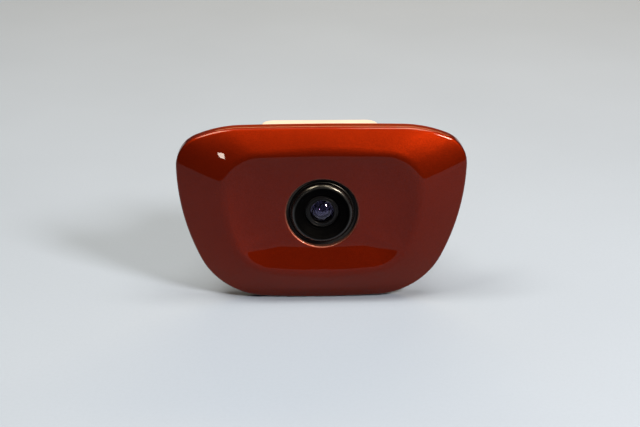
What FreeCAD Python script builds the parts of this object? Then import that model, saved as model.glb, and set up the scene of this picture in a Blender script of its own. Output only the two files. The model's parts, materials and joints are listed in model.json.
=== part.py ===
# Rear-view (backup) camera pod: a painted cover over a camera module that is
# screwed to a moulded bracket, which hooks into and bolts to a vehicle panel.
#
# Frame: millimetres, +Z up, -Y is the way the lens looks, +Y goes into the vehicle.
# Origin: where the optical axis crosses the plane of the panel gasket's free face.
import FreeCAD, Part
import math
import os
import re
from FreeCAD import Vector, Placement, Rotation

os.makedirs("parts", exist_ok=True)
doc = FreeCAD.newDocument("backup_camera")

# ---------------------------------------------------------------- driving sizes
SIZES = [
    # cover outline: tangent arcs from the top centre round to the bottom centre
    ("out_top_z", 29.7), ("out_top_radius", 1390), ("out_top_angle", 1.11),
    ("out_shoulder_radius", 41.4), ("out_shoulder_angle", 22.65),
    ("out_corner_radius", 11.2), ("out_corner_end", 0),
    ("out_side_radius", 80), ("out_side_end", -24.8),
    ("out_low_radius", 25.7), ("out_low_angle", 3.13),
    # ridge between the outer bevel and the shallow dish
    ("ridge_top_z", 21.8), ("ridge_top_radius", 400), ("ridge_top_angle", 3),
    ("ridge_corner_radius", 12.5), ("ridge_corner_end", 5),
    ("ridge_side_radius", 45), ("ridge_side_end", -24),
    ("ridge_low_radius", 14), ("ridge_low_angle", 10),
    # flat floor of the dish
    ("floor_half_x", 24.5), ("floor_half_z", 13.8), ("floor_power", 3),
    # cover section
    ("front_y", -10), ("cover_depth", 9), ("cover_wall", 2.2),
    ("edge_depth", 5.2), ("bevel_slope", 0.44), ("roll_length", 1.0), ("ridge_blend", 2.0),
    ("dish_depth", 2.0), ("dish_blend", 3.6), ("inside_edge_depth", 5.94), ("inside_dish_depth", 3.6),
    ("hole_radius", 12.2), ("lip_radius", 0.55),
    ("cover_boss_radius", 3.2), ("cover_boss_end_y", -5.0), ("pilot_radius", 1.5),
    ("screw_top_x", 29.5), ("screw_top_z", 14.5), ("screw_low_x", 25.6), ("screw_low_z", -13.5),
    # bracket
    ("flange_inset", 2.6), ("flange_front_y", -4.0), ("flange_rear_y", -1.8),
    ("box_half_x", 20.5), ("box_top_z", 23.4), ("box_bottom_z", -26.0), ("box_rear_y", 22.0),
    ("box_wall", 2.0), ("box_corner_radius", 4.5),
    ("hook_x", 12.5), ("hook_width", 8.0), ("hook_front_y", 2.2), ("hook_thick", 2.6),
    ("hook_bottom_z", -33.06), ("hook_rear_y", 16.0), ("rib_thick", 1.8),
    ("insert_x", 30.0), ("insert_boss_radius", 4.6), ("insert_radius", 3.5),
    ("insert_bore_radius", 2.1), ("insert_rear_y", -0.8), ("insert_length", 4.6), ("insert_boss_front_y", -6.4),
    ("gasket_inset", 2.9), ("gasket_width", 3.2),
    # camera module cases
    ("nose_radius", 11.2), ("snout_radius", 9.0), ("snout_front_y", -5.0), ("crest_y", -8.75), ("case_front_y", -1.4), ("case_split_y", 7.0), ("case_rear_y", 19.0),
    ("case_half", 15.0), ("case_corner", 3.0), ("case_wall", 1.8),
    ("ear_x", 8.0), ("ear_z", 18.0), ("ear_radius", 3.2), ("ear_thick", 2.4), ("ear_hole", 1.7), ("post_radius", 2.8),
    ("case_screw_pos", 11.6), ("case_boss_radius", 2.5),
    ("seal_outer_radius", 14.8),
    # lens
    ("barrel_front_y", -6.1), ("barrel_radius", 5.5), ("barrel_thread_radius", 5.0), ("barrel_length", 12.1),
    ("lens_bore_radius", 5.6), ("ring_inner_radius", 4.0), ("ring_outer_radius", 5.35),
    ("holder_radius", 6.6),
    # boards and socket
    ("sensor_board_y", 9.2), ("board_half", 12.6), ("processor_board_y", 14.0),
    ("socket_z", -4.0), ("socket_half_x", 10.0), ("socket_half_z", 7.0), ("socket_wall", 2.0), ("socket_rear_y", 29.0),
    ("pin_pitch", 2.54), ("pin_size", 0.64), ("pin_end_y", 23.6),
]
sheet = doc.addObject("Spreadsheet::Sheet", "Dims")
for row, (alias, value) in enumerate(SIZES, start=1):
    sheet.set("A%d" % row, alias)
    sheet.set("B%d" % row, str(value))
    sheet.setAlias("B%d" % row, alias)
doc.recompute()
D = {alias: float(getattr(sheet, alias)) for alias, _ in SIZES}
NAMES = re.compile(r"\b(" + "|".join(sorted(D, key=len, reverse=True)) + r")\b")


def value(expression):
    """Number of an expression written with the sheet's aliases."""
    if isinstance(expression, (int, float)):
        return float(expression)
    return arithmetic(NAMES.sub(lambda m: repr(D[m.group(1)]), expression))


def arithmetic(text):
    """Adds, subtracts, multiplies and divides plain numbers, with brackets."""
    tokens = re.findall(r"\d+\.?\d*(?:e-?\d+)?|[-+*/()]", text.replace(" ", ""))
    position = [0]

    def peek():
        return tokens[position[0]] if position[0] < len(tokens) else ""

    def take():
        position[0] += 1
        return tokens[position[0] - 1]

    def factor():
        token = take()
        if token == "-":
            return -factor()
        if token == "+":
            return factor()
        if token == "(":
            inner = total()
            take()
            return inner
        return float(token)

    def product():
        result = factor()
        while peek() in ("*", "/"):
            result = result * factor() if take() == "*" else result / factor()
        return result

    def total():
        result = product()
        while peek() in ("+", "-"):
            result = result + product() if take() == "+" else result - product()
        return result

    return total()


def bind(obj, prop, expression):
    """Ties a property to the sheet."""
    if isinstance(expression, (int, float)):
        expression = repr(float(expression))
    obj.setExpression(prop, NAMES.sub(r"Dims.\1", expression))


# ---------------------------------------------------------------- small builders
def box(name, x0, x1, y0, y1, z0, z1):
    o = doc.addObject("Part::Box", name)
    for prop, lo, hi in (("Length", x0, x1), ("Width", y0, y1), ("Height", z0, z1)):
        bind(o, prop, "(%s)-(%s)" % (hi, lo))
    for axis, lo in (("x", x0), ("y", y0), ("z", z0)):
        bind(o, "Placement.Base." + axis, "%s" % lo)
    return o


def cylinder(name, radius, y0, y1, x=0, z=0):
    """Round bar along Y."""
    o = doc.addObject("Part::Cylinder", name)
    o.Placement = Placement(Vector(0, 0, 0), Rotation(Vector(1, 0, 0), -90))
    bind(o, "Radius", radius)
    bind(o, "Height", "(%s)-(%s)" % (y1, y0))
    for axis, v in (("x", x), ("y", y0), ("z", z)):
        bind(o, "Placement.Base." + axis, "%s" % v)
    return o


def fuse(name, shapes):
    o = doc.addObject("Part::MultiFuse", name)
    o.Shapes = shapes
    o.Refine = True
    return o


def cut(name, base, tool):
    o = doc.addObject("Part::Cut", name)
    o.Base, o.Tool = base, tool
    return o


def fillet(name, base, radius, chosen):
    """Rounds the edges that chosen(edge) picks."""
    doc.recompute()
    o = doc.addObject("Part::Fillet", name)
    o.Base = base
    r = value(radius)
    o.Edges = [(i, r, r) for i, e in enumerate(base.Shape.Edges, start=1) if chosen(e)]
    if not o.Edges:
        raise RuntimeError("no edge to round on " + name)
    return o


def origin_plane(body, role):
    return [f for f in body.Origin.OriginFeatures if f.Role == role][0]


def new_body(name):
    return doc.addObject("PartDesign::Body", name)


def polygon(body, name, role, points, offset=None):
    """Closed sketch of straight lines; every corner is tied to the sheet."""
    import Sketcher

    s = body.newObject("Sketcher::SketchObject", name)
    s.AttachmentSupport = [(origin_plane(body, role), "")]
    s.MapMode = "FlatFace"
    numbers = [Vector(value(u), value(v), 0) for u, v in points]
    n = len(numbers)
    for i in range(n):
        s.addGeometry(Part.LineSegment(numbers[i], numbers[(i + 1) % n]), False)
    for i in range(n):
        s.addConstraint(Sketcher.Constraint("Coincident", i, 2, (i + 1) % n, 1))
    for i, (u, v) in enumerate(points):
        for kind, expression, number in (("DistanceX", u, numbers[i].x), ("DistanceY", v, numbers[i].y)):
            if abs(number) < 1e-9:
                s.addConstraint(Sketcher.Constraint("PointOnObject", i, 1, -2 if kind == "DistanceX" else -1))
            else:
                k = s.addConstraint(Sketcher.Constraint(kind, -1, 1, i, 1, number))
                label = "%s_%d" % ("u" if kind == "DistanceX" else "v", i)
                s.renameConstraint(k, label)
                bind(s, "Constraints." + label, "%s" % expression)
    if offset is not None:
        bind(s, "AttachmentOffset.Base.z", offset)
    return s


def turned(name, points, plus=()):
    """Body of revolution about the optical axis; points are (radius, y)."""
    body = new_body(name)
    s = polygon(body, name + "_profile", "XY_Plane", points)
    r = body.newObject("PartDesign::Revolution", name + "_turn")
    r.Profile = s
    r.ReferenceAxis = (s, ["V_Axis"])
    r.Angle = 360
    s.Visibility = False
    body.Tip = r
    return body


def slab(name, points, y0, y1, body=None):
    """Plate along Y; points are (x, z) of its outline."""
    body = body or new_body(name)
    s = polygon(body, name + "_outline", "XZ_Plane", points, offset="-(%s)" % y0)
    p = body.newObject("PartDesign::Pad", name + "_pad")
    p.Profile = s
    p.Reversed = True
    bind(p, "Length", "(%s)-(%s)" % (y1, y0))
    body.Tip = p
    return body


def pocket(body, name, points, y0, y1):
    """Cuts a body from y0 to y1."""
    doc.recompute()
    before = body.Shape.Volume
    s = polygon(body, name + "_outline", "XZ_Plane", points, offset="-(%s)" % y1)
    p = body.newObject("PartDesign::Pocket", name)
    p.Profile = s
    p.Type = 0
    p.Reversed = True
    bind(p, "Length", "(%s)-(%s)" % (y1, y0))
    body.Tip = p
    doc.recompute()
    if not body.Shape.Volume < before - 1e-6:
        p.Reversed = False
        doc.recompute()
    if not body.Shape.Volume < before - 1e-6:
        raise RuntimeError(name + " cuts nothing")
    return p


def rectangle(hx, z0, z1):
    return [("-(%s)" % hx, z0), (hx, z0), (hx, z1), ("-(%s)" % hx, z1)]


def soften(body, name, radius, chosen, kind="Fillet"):
    doc.recompute()
    tip = body.Tip
    f = body.newObject("PartDesign::" + kind, name)
    f.Base = (tip, ["Edge%d" % i for i, e in enumerate(tip.Shape.Edges, start=1) if chosen(e)])
    if kind == "Fillet":
        bind(f, "Radius", radius)
    else:
        bind(f, "Size", radius)
    body.Tip = f
    return f


def along(edge, axis):
    a, b = edge.Vertexes[0].Point, edge.Vertexes[-1].Point
    d = b - a
    return d.Length > 1e-6 and abs(abs(d.normalize().dot(axis)) - 1) < 1e-6


X, Y, Z = Vector(1, 0, 0), Vector(0, 1, 0), Vector(0, 0, 1)


def back(distance):
    """Y of a place that far behind the lens barrel's front."""
    return "barrel_front_y+(%s)" % distance


# ---------------------------------------------------------------- cover outline
def unit(angle):
    return Vector(math.cos(math.radians(angle)), 0, math.sin(math.radians(angle)))


def right_half(top_z, spans, low_angle):
    """Tangent arcs (centre, radius, from, to) from the top centre to the bottom centre; the angle is that of the outward normal."""
    p, found = Vector(0, 0, top_z), []
    for radius, a, b in spans:
        c = p - unit(a) * radius
        found.append((c, radius, a, b))
        p = c + unit(b) * radius
    a = -90 + low_angle
    radius = p.x / math.sin(math.radians(low_angle))
    found.append((p - unit(a) * radius, radius, a, -90.0))
    return found


def closed_arcs(half, y=0.0):
    """One wire of the arcs and their mirror images."""
    edges = []
    for c, r, a, b in half:
        pts = [c + unit(t) * r + Vector(0, y, 0) for t in (a, (a + b) / 2, b)]
        edges.append(Part.Arc(*pts).toShape())
    for c, r, a, b in reversed(half):
        pts = [c + unit(t) * r + Vector(0, y, 0) for t in (b, (a + b) / 2, a)]
        edges.append(Part.Arc(*[Vector(-q.x, q.y, q.z) for q in pts]).toShape())
    return Part.Wire(edges)


OUT = right_half(
    D["out_top_z"],
    [
        (D["out_top_radius"], 90, 90 - D["out_top_angle"]),
        (D["out_shoulder_radius"], 90 - D["out_top_angle"], 90 - D["out_shoulder_angle"]),
        (D["out_corner_radius"], 90 - D["out_shoulder_angle"], D["out_corner_end"]),
        (D["out_side_radius"], D["out_corner_end"], D["out_side_end"]),
        (D["out_low_radius"], D["out_side_end"], -90 + D["out_low_angle"]),
    ],
    D["out_low_angle"],
)
RIDGE = right_half(
    D["ridge_top_z"],
    [
        (D["ridge_top_radius"], 90, 90 - D["ridge_top_angle"]),
        (D["ridge_corner_radius"], 90 - D["ridge_top_angle"], D["ridge_corner_end"]),
        (D["ridge_side_radius"], D["ridge_corner_end"], D["ridge_side_end"]),
        (D["ridge_low_radius"], D["ridge_side_end"], -90 + D["ridge_low_angle"]),
    ],
    D["ridge_low_angle"],
)


def walk(half, n):
    """n points, evenly spaced along the closed outline from the top centre round by the right, with outward normals."""
    lengths = [abs(math.radians(b - a)) * r for c, r, a, b in half]
    total = 2 * sum(lengths)
    found = []
    for k in range(n):
        s = total * k / n
        mirror = s > total / 2
        if mirror:
            s = total - s
        for (c, r, a, b), length in zip(half, lengths):
            if s <= length + 1e-9:
                t = a + (b - a) * s / length
                p, m = c + unit(t) * r, unit(t)
                break
            s -= length
        if mirror:
            p, m = Vector(-p.x, 0, p.z), Vector(-m.x, 0, m.z)
        found.append((p, m))
    return found


def at_angle(half, phi):
    """Point of the closed outline at polar angle phi about the optical axis."""
    dense = at_angle.cache.setdefault(id(half), [])
    if not dense:
        for p, m in walk(half, 1440):
            dense.append((math.atan2(p.z, p.x), p))
        dense.sort(key=lambda q: q[0])
    keys = [q[0] for q in dense]
    import bisect

    i = bisect.bisect(keys, phi)
    (a0, p0), (a1, p1) = dense[i - 1], dense[i % len(dense)]
    if i == 0:
        a0 -= 2 * math.pi
    if i == len(dense):
        a1 += 2 * math.pi
    t = (phi - a0) / (a1 - a0)
    return p0 + (p1 - p0) * t


at_angle.cache = {}


def floor_point(phi):
    c, s, k = math.cos(phi), math.sin(phi), D["floor_power"]
    r = (abs(c / D["floor_half_x"]) ** k + abs(s / D["floor_half_z"]) ** k) ** (-1 / k)
    return Vector(r * c, 0, r * s)


def blend(before, corner, after, steps):
    """Points of the parabola that rounds a corner of the section."""
    found = []
    for j in range(steps + 1):
        t = j / steps
        found.append(before * (1 - t) ** 2 + corner * (2 * t * (1 - t)) + after * t**2)
    return found


def cover_rings(n=120):
    """Closed rings of the cover's outer skin, from the rim to the dish floor; each is a list of n points."""
    rings = None
    for p, m in walk(OUT, n):
        phi = math.atan2(p.z, p.x)
        ridge, floor = at_angle(RIDGE, phi), floor_point(phi)
        roll = D["roll_length"]
        start = p - m * roll                      # the bevel runs from here to the ridge
        run = ridge - start
        # the bevel is crowned: it leaves the ridge at a low slope and steepens to the edge
        reach = run.Length + roll
        slope = min(D["bevel_slope"], 0.75 * D["edge_depth"] / reach)
        curl = (D["edge_depth"] - slope * reach) / reach**2

        def bevel(x):
            return slope * x + curl * x * x

        cosine = max(0.5, -run.dot(m) / run.Length)
        grade = (slope + 2 * curl * run.Length) / cosine    # steepness square to the outline
        depth_start = bevel(run.Length)
        # section near the edge, as (inset, depth)
        corner = Vector(0, depth_start + grade * roll, 0)
        low = corner + Vector(0, roll, 0)
        section = [("edge", q.x, q.y) for q in blend(low, corner, Vector(roll, depth_start, 0), 6)]
        section = [("edge", 0.0, low.y + (D["cover_depth"] - low.y) * f) for f in (1.0, 0.8, 0.6, 0.4, 0.2)] + section
        # bevel, ridge and dish, as (distance along the path, depth)
        wall = floor - ridge
        dish = D["dish_depth"] / wall.Length
        rb, db = D["ridge_blend"], min(D["dish_blend"], wall.Length * 0.55)
        total = run.Length
        first = Vector(total - rb, bevel(rb), 0)
        second = Vector(total + rb, dish * rb, 0)
        for f in (0.2, 0.4, 0.6, 0.8):
            section.append(("path", (total - rb) * f, bevel(total - (total - rb) * f)))
        section += [("path", q.x, q.y) for q in blend(first, Vector(total, 0, 0), second, 4)]
        end = total + wall.Length
        third = Vector(end - db, D["dish_depth"] - dish * db, 0)
        for f in (0.25, 0.5, 0.75):
            q = second + (third - second) * f
            section.append(("path", q.x, q.y))
        section += [("path", q.x, q.y) for q in blend(third, Vector(end, D["dish_depth"], 0), Vector(end + db * 0.3, D["dish_depth"], 0), 4)]
        points = []
        for kind, s, depth in section:
            if kind == "edge":
                q = p - m * s
            elif s <= total:
                q = start + run * (s / total)
            else:
                q = ridge + wall * ((s - total) / wall.Length)
            points.append(Vector(q.x, D["front_y"] + depth, q.z))
        if rings is None:
            rings = [[] for _ in points]
        for ring, q in zip(rings, points):
            ring.append(q)
    return rings


def ring_wire(points):
    c = Part.BSplineCurve()
    n = len(points)
    c.interpolate(Points=points, PeriodicFlag=True, Parameters=[k / n for k in range(n + 1)])
    return Part.Wire([c.toShape()])


def loft(name, rings, ruled=False):
    sections = []
    for k, pts in enumerate(rings):
        f = doc.addObject("Part::Feature", "%s_ring_%02d" % (name, k))
        f.Shape = ring_wire(pts)
        f.Visibility = False
        sections.append(f)
    o = doc.addObject("Part::Loft", name)
    o.Sections = sections
    o.Solid = True
    o.Ruled = ruled
    return o


outer_rings = cover_rings()
cover_outer = loft("cover_outer", outer_rings)

# The inside follows the outside about one wall thickness back.
wall = D["cover_wall"]
inner = []
samples = walk(OUT, 120)
below = D["cover_depth"] + 1.0
inner.append([Vector(p.x - m.x * wall, D["front_y"] + below, p.z - m.z * wall) for p, m in samples])
inner.append([Vector(p.x - m.x * wall, D["front_y"] + D["inside_edge_depth"], p.z - m.z * wall) for p, m in samples])
ridge_in, floor_in = [], []
for p, m in samples:
    phi = math.atan2(p.z, p.x)
    r, f = at_angle(RIDGE, phi), floor_point(phi)
    ridge_in.append(Vector(r.x, D["front_y"] + wall, r.z))
    f = f * ((f.Length - 0.6) / f.Length)
    floor_in.append(Vector(f.x, D["front_y"] + D["inside_dish_depth"], f.z))
inner += [ridge_in, floor_in]
cover_inner = loft("cover_inner", inner, ruled=True)
cover_shell = cut("cover_shell", cover_outer, cover_inner)
hole = cylinder("cover_hole", "hole_radius", "front_y-1", "front_y+6")
cover_holed = cut("cover_holed", cover_shell, hole)
lipped = fillet(
    "cover_lip", cover_holed, "lip_radius",
    lambda e: e.Curve.TypeId == "Part::GeomCircle" and abs(e.Curve.Radius - D["hole_radius"]) < 1e-6
    and abs(e.Vertexes[0].Point.y - (D["front_y"] + D["dish_depth"])) < 1e-4,
)
SCREWS = [("screw_top_x", "screw_top_z"), ("-screw_top_x", "screw_top_z"), ("screw_low_x", "screw_low_z"), ("-screw_low_x", "screw_low_z")]
cover_bosses = [cylinder("cover_boss_%d" % i, "cover_boss_radius", "front_y+1.5", "cover_boss_end_y", x, z) for i, (x, z) in enumerate(SCREWS)]
pilots = [cylinder("cover_pilot_%d" % i, "pilot_radius", "front_y+2.0", "cover_boss_end_y+1", x, z) for i, (x, z) in enumerate(SCREWS)]
front_cover = cut("front_cover", fuse("cover_with_bosses", [lipped] + cover_bosses), fuse("cover_pilots", pilots))

# ---------------------------------------------------------------- bracket
outline = doc.addObject("Part::Feature", "rim_outline")
outline.Shape = closed_arcs(OUT)


def inset_plate(name, inset, y0, y1):
    """Plate of the rim's outline, inset, from y0 to y1."""
    o = doc.addObject("Part::Offset2D", name + "_curve")
    o.Source = outline
    bind(o, "Value", "-(%s)" % inset)
    e = doc.addObject("Part::Extrusion", name)
    e.Base = o
    e.DirMode = "Custom"
    e.Dir = Vector(0, 1, 0)
    e.Solid = True
    bind(e, "LengthFwd", "(%s)-(%s)" % (y1, y0))
    bind(e, "Placement.Base.y", y0)
    return e


flange = inset_plate("bracket_flange", "flange_inset", "flange_front_y", "flange_rear_y")

# Plan view of the box, rounded at its rear corners, padded up.
box_body = new_body("bracket_box")
plan = polygon(
    box_body, "box_plan", "XY_Plane",
    [("-box_half_x", "flange_front_y"), ("box_half_x", "flange_front_y"), ("box_half_x", "box_rear_y"), ("-box_half_x", "box_rear_y")],
    offset="box_bottom_z",
)
pad = box_body.newObject("PartDesign::Pad", "box_pad")
pad.Profile = plan
bind(pad, "Length", "box_top_z-(box_bottom_z)")
box_body.Tip = pad
soften(box_body, "box_rear_corners", "box_corner_radius", lambda e: along(e, Z) and e.Vertexes[0].Point.y > 0)
soften(box_body, "box_edges", 1.0, lambda e: e.BoundBox.YMin > D["flange_front_y"] + 1 and e.BoundBox.ZLength < 0.01)
inner_box = new_body("bracket_hollow")
plan_in = polygon(
    inner_box, "hollow_plan", "XY_Plane",
    [("-(box_half_x-box_wall)", "flange_front_y-5"), ("box_half_x-box_wall", "flange_front_y-5"), ("box_half_x-box_wall", "box_rear_y-box_wall"), ("-(box_half_x-box_wall)", "box_rear_y-box_wall")],
    offset="box_bottom_z+box_wall",
)
pad_in = inner_box.newObject("PartDesign::Pad", "hollow_pad")
pad_in.Profile = plan_in
bind(pad_in, "Length", "box_top_z-(box_bottom_z)-2*box_wall")
inner_box.Tip = pad_in
soften(inner_box, "hollow_corners", "box_corner_radius-box_wall", lambda e: along(e, Z) and e.Vertexes[0].Point.y > 0)

posts = [
    cylinder("camera_post_%d" % i, "post_radius", "case_front_y+ear_thick", "box_rear_y-box_wall+0.5", x, z)
    for i, (x, z) in enumerate([("ear_x", "ear_z"), ("-ear_x", "-ear_z")])
]
webs = [
    box("post_web_top", "ear_x-0.8", "ear_x+0.8", "case_front_y+ear_thick", "box_rear_y-1", "ear_z", "box_top_z-1"),
    box("post_web_low", "-ear_x-0.8", "-ear_x+0.8", "case_front_y+ear_thick", "box_rear_y-1", "box_bottom_z+1", "-ear_z"),
]
post_holes = [
    cylinder("camera_post_hole_%d" % i, "pilot_radius", "case_front_y+ear_thick-1", "case_front_y+ear_thick+8", x, z)
    for i, (x, z) in enumerate([("ear_x", "ear_z"), ("-ear_x", "-ear_z")])
]
# screw seats: the flange steps forward under each cover screw's head
seats = [cylinder("screw_seat_%d" % i, "cover_boss_radius+1.0", "cover_boss_end_y", "flange_front_y+0.2", x, z) for i, (x, z) in enumerate(SCREWS)]
seat_bores = [cylinder("screw_seat_bore_%d" % i, 3.05, "flange_rear_y-1.6", "flange_rear_y+1", x, z) for i, (x, z) in enumerate(SCREWS)]
seat_holes = [cylinder("screw_seat_hole_%d" % i, 1.65, "cover_boss_end_y-1", "flange_rear_y", x, z) for i, (x, z) in enumerate(SCREWS)]
# insert bosses
INSERTS = [("insert_x", 0), ("-insert_x", 0)]
insert_bosses = [cylinder("insert_boss_%d" % i, "insert_boss_radius", "insert_boss_front_y", "insert_rear_y", x, z) for i, (x, z) in enumerate(INSERTS)]
insert_holes = [cylinder("insert_hole_%d" % i, "insert_radius", "insert_rear_y-insert_length", "insert_rear_y+1", x, z) for i, (x, z) in enumerate(INSERTS)]
# stiffening ribs on the hidden front side of the flange
front_ribs = []
for i, sign in enumerate(("", "-")):
    a, b = ("box_half_x-1", "insert_x-3") if not sign else ("-(insert_x-3)", "-(box_half_x-1)")
    front_ribs.append(box("flange_rib_mid_%d" % i, a, b, "flange_front_y-2.0", "flange_front_y+0.2", -0.8, 0.8))
    a, b = ("box_half_x-1", "screw_top_x-2.5") if not sign else ("-(screw_top_x-2.5)", "-(box_half_x-1)")
    front_ribs.append(box("flange_rib_top_%d" % i, a, b, "flange_front_y-1.0", "flange_front_y+0.2", "screw_top_z-0.8", "screw_top_z+0.8"))
# crush ribs outside the box's walls, which centre it in the panel's opening
side_ribs = []
for i, z in enumerate((-18, -4, 10)):
    side_ribs.append(box("side_rib_r%d" % i, "box_half_x-0.5", "box_half_x+0.5", 1.5, "box_rear_y-box_corner_radius-1", z - 0.7, z + 0.7))
    side_ribs.append(box("side_rib_l%d" % i, "-(box_half_x+0.5)", "-(box_half_x-0.5)", 1.5, "box_rear_y-box_corner_radius-1", z - 0.7, z + 0.7))
# lower hooks: a cross plate behind the panel's edge, carried on two ribs
hooks = []
for i, sign in enumerate((1, -1)):
    lo = "hook_x-hook_width/2" if sign > 0 else "-(hook_x+hook_width/2)"
    hi = "hook_x+hook_width/2" if sign > 0 else "-(hook_x-hook_width/2)"
    hooks.append(box("hook_plate_%d" % i, lo, hi, "hook_front_y", "hook_front_y+hook_thick", "hook_bottom_z", "box_bottom_z+1"))
    for j, (a, b) in enumerate(((lo, "%s+rib_thick" % lo), ("%s-rib_thick" % hi, hi))):
        rib = new_body("hook_rib_%d_%d" % (i, j))
        s = polygon(
            rib, "hook_rib_side_%d_%d" % (i, j), "YZ_Plane",
            [("hook_front_y+1", "hook_bottom_z"), ("hook_rear_y", "hook_bottom_z"), ("hook_rear_y+3.5", "box_bottom_z+1"), ("hook_front_y+1", "box_bottom_z+1")],
            offset=a,
        )
        p = rib.newObject("PartDesign::Pad", "hook_rib_pad_%d_%d" % (i, j))
        p.Profile = s
        bind(p, "Length", "rib_thick")
        rib.Tip = p
        hooks.append(rib)
socket_window = box("socket_window", "-(socket_half_x+1.6)", "socket_half_x+1.6", "box_rear_y-box_wall-2", "box_rear_y+2", "socket_z-socket_half_z-1.6", "socket_z+socket_half_z+1.6")
bracket_solid = fuse("bracket_solid", [flange, box_body] + seats + insert_bosses + front_ribs + side_ribs + hooks)
bracket_hollowed = cut("bracket_hollowed", bracket_solid, inner_box)
bracket_posts = fuse("bracket_posts", [bracket_hollowed] + posts + webs)
mounting_bracket = cut("mounting_bracket", bracket_posts, fuse("bracket_cutters", seat_bores + seat_holes + insert_holes + post_holes + [socket_window]))

threaded_inserts = fuse(
    "threaded_inserts",
    [
        cut(
            "insert_%d" % i,
            fuse(
                "insert_body_%d" % i,
                [
                    cylinder("insert_rear_land_%d" % i, "insert_radius", "insert_rear_y-2.0", "insert_rear_y", x, z),
                    cylinder("insert_waist_%d" % i, "insert_radius-0.45", "insert_rear_y-3.6", "insert_rear_y-1.5", x, z),
                    cylinder("insert_front_land_%d" % i, "insert_radius", "insert_rear_y-insert_length", "insert_rear_y-3.4", x, z),
                ],
            ),
            cylinder("insert_bore_%d" % i, "insert_bore_radius", "insert_rear_y-insert_length-1", "insert_rear_y+1", x, z),
        )
        for i, (x, z) in enumerate(INSERTS)
    ],
)

panel_gasket = cut(
    "panel_gasket",
    inset_plate("gasket_outer", "gasket_inset", "flange_rear_y", "0"),
    inset_plate("gasket_inner", "gasket_inset+gasket_width", "flange_rear_y-1", "1"),
)


# ---------------------------------------------------------------- fasteners
def pan_screw(name, x, z, under_head_y, length, shank, head, head_height, towards=-1, recess=0.9):
    """Pan-head screw along Y. Its shank runs from under its head towards -Y or +Y."""
    if towards < 0:
        h0, h1 = under_head_y, "%s+%s" % (under_head_y, head_height)
        s0, s1 = "%s-%s" % (under_head_y, length), "%s+0.2" % under_head_y
        c0, c1 = "%s+%s-%s" % (under_head_y, head_height, recess), "%s+%s+1" % (under_head_y, head_height)
    else:
        h0, h1 = "%s-%s" % (under_head_y, head_height), under_head_y
        s0, s1 = "%s-0.2" % under_head_y, "%s+%s" % (under_head_y, length)
        c0, c1 = "%s-%s-1" % (under_head_y, head_height), "%s-%s+%s" % (under_head_y, head_height, recess)
    hd = cylinder(name + "_head", head, h0, h1, x, z)
    top_y = value(h1) if towards < 0 else value(h0)
    hd = fillet(name + "_crown", hd, head_height * 0.42, lambda e: e.Curve.TypeId == "Part::GeomCircle" and abs(e.Vertexes[0].Point.y - top_y) < 1e-6)
    body = fuse(name + "_body", [hd, cylinder(name + "_shank", shank, s0, s1, x, z)])
    w, l = head * 0.17, head * 0.55
    slot_a = box(name + "_slot_a", "%s-%s" % (x, l), "%s+%s" % (x, l), c0, c1, "%s-%s" % (z, w), "%s+%s" % (z, w))
    slot_b = box(name + "_slot_b", "%s-%s" % (x, w), "%s+%s" % (x, w), c0, c1, "%s-%s" % (z, l), "%s+%s" % (z, l))
    return cut(name, body, fuse(name + "_slots", [slot_a, slot_b]))


def group(name, members):
    o = doc.addObject("Part::Compound", name)
    o.Links = members
    return o


cover_screws = group("cover_screws", [pan_screw("cover_screw_%d" % i, x, z, "flange_rear_y-1.6", 4.4, 1.42, 2.8, 1.55) for i, (x, z) in enumerate(SCREWS)])
camera_screws = group(
    "camera_screws",
    [pan_screw("camera_screw_%d" % i, x, z, "case_front_y", 9.0, 1.42, 2.8, 1.6, towards=1) for i, (x, z) in enumerate([("ear_x", "ear_z"), ("-ear_x", "-ear_z")])],
)
CASE_CORNERS = [("case_screw_pos", "case_screw_pos"), ("-case_screw_pos", "case_screw_pos"), ("-case_screw_pos", "-case_screw_pos"), ("case_screw_pos", "-case_screw_pos")]
case_screws = group("case_screws", [pan_screw("case_screw_%d" % i, x, z, "case_rear_y-1.5", 14.0, 0.95, 1.9, 1.3, recess=0.7) for i, (x, z) in enumerate(CASE_CORNERS)])

# ---------------------------------------------------------------- camera front case
def square(half):
    return rectangle(half, "-(%s)" % half, half)


front_body = slab("front_case_body", square("case_half"), "case_front_y", "case_split_y")
soften(front_body, "front_case_corners", "case_corner", lambda e: along(e, Y))
soften(front_body, "front_case_shoulder", 0.6, lambda e: e.BoundBox.YLength < 1e-6 and abs(e.BoundBox.YMin - D["case_front_y"]) < 1e-6)
pocket(front_body, "front_case_cavity", square("case_half-case_wall"), "case_front_y+case_wall", "case_split_y+1")
nose = turned(
    "front_case_nose",
    [
        ("lens_bore_radius+1.6", "case_front_y+1"), ("snout_radius", "case_front_y+1"), ("snout_radius", "snout_front_y"), ("lens_bore_radius", "snout_front_y"),
        ("lens_bore_radius", back(2.8)), ("lens_bore_radius+1.6", back(2.8)),
    ],
)
nose_core = cylinder("front_case_lens_way", "lens_bore_radius+1.6", "case_front_y-2", "case_split_y")
ears = []
for i, (x, z, sign) in enumerate((("ear_x", "ear_z", 1), ("-ear_x", "-ear_z", -1))):
    ears.append(cylinder("camera_ear_%d" % i, "ear_radius", "case_front_y", "case_front_y+ear_thick", x, z))
    za, zb = ("case_half-1", "ear_z") if sign > 0 else ("-ear_z", "-(case_half-1)")
    ears.append(box("camera_ear_root_%d" % i, "%s-ear_radius" % x, "%s+ear_radius" % x, "case_front_y", "case_front_y+ear_thick", za, zb))
ear_holes = [cylinder("camera_ear_hole_%d" % i, "ear_hole", "case_front_y-1", "case_front_y+ear_thick+1", x, z) for i, (x, z) in enumerate([("ear_x", "ear_z"), ("-ear_x", "-ear_z")])]
front_corner_posts = [cylinder("front_case_post_%d" % i, "case_boss_radius", "case_front_y+case_wall-0.5", "case_split_y", x, z) for i, (x, z) in enumerate(CASE_CORNERS)]
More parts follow.
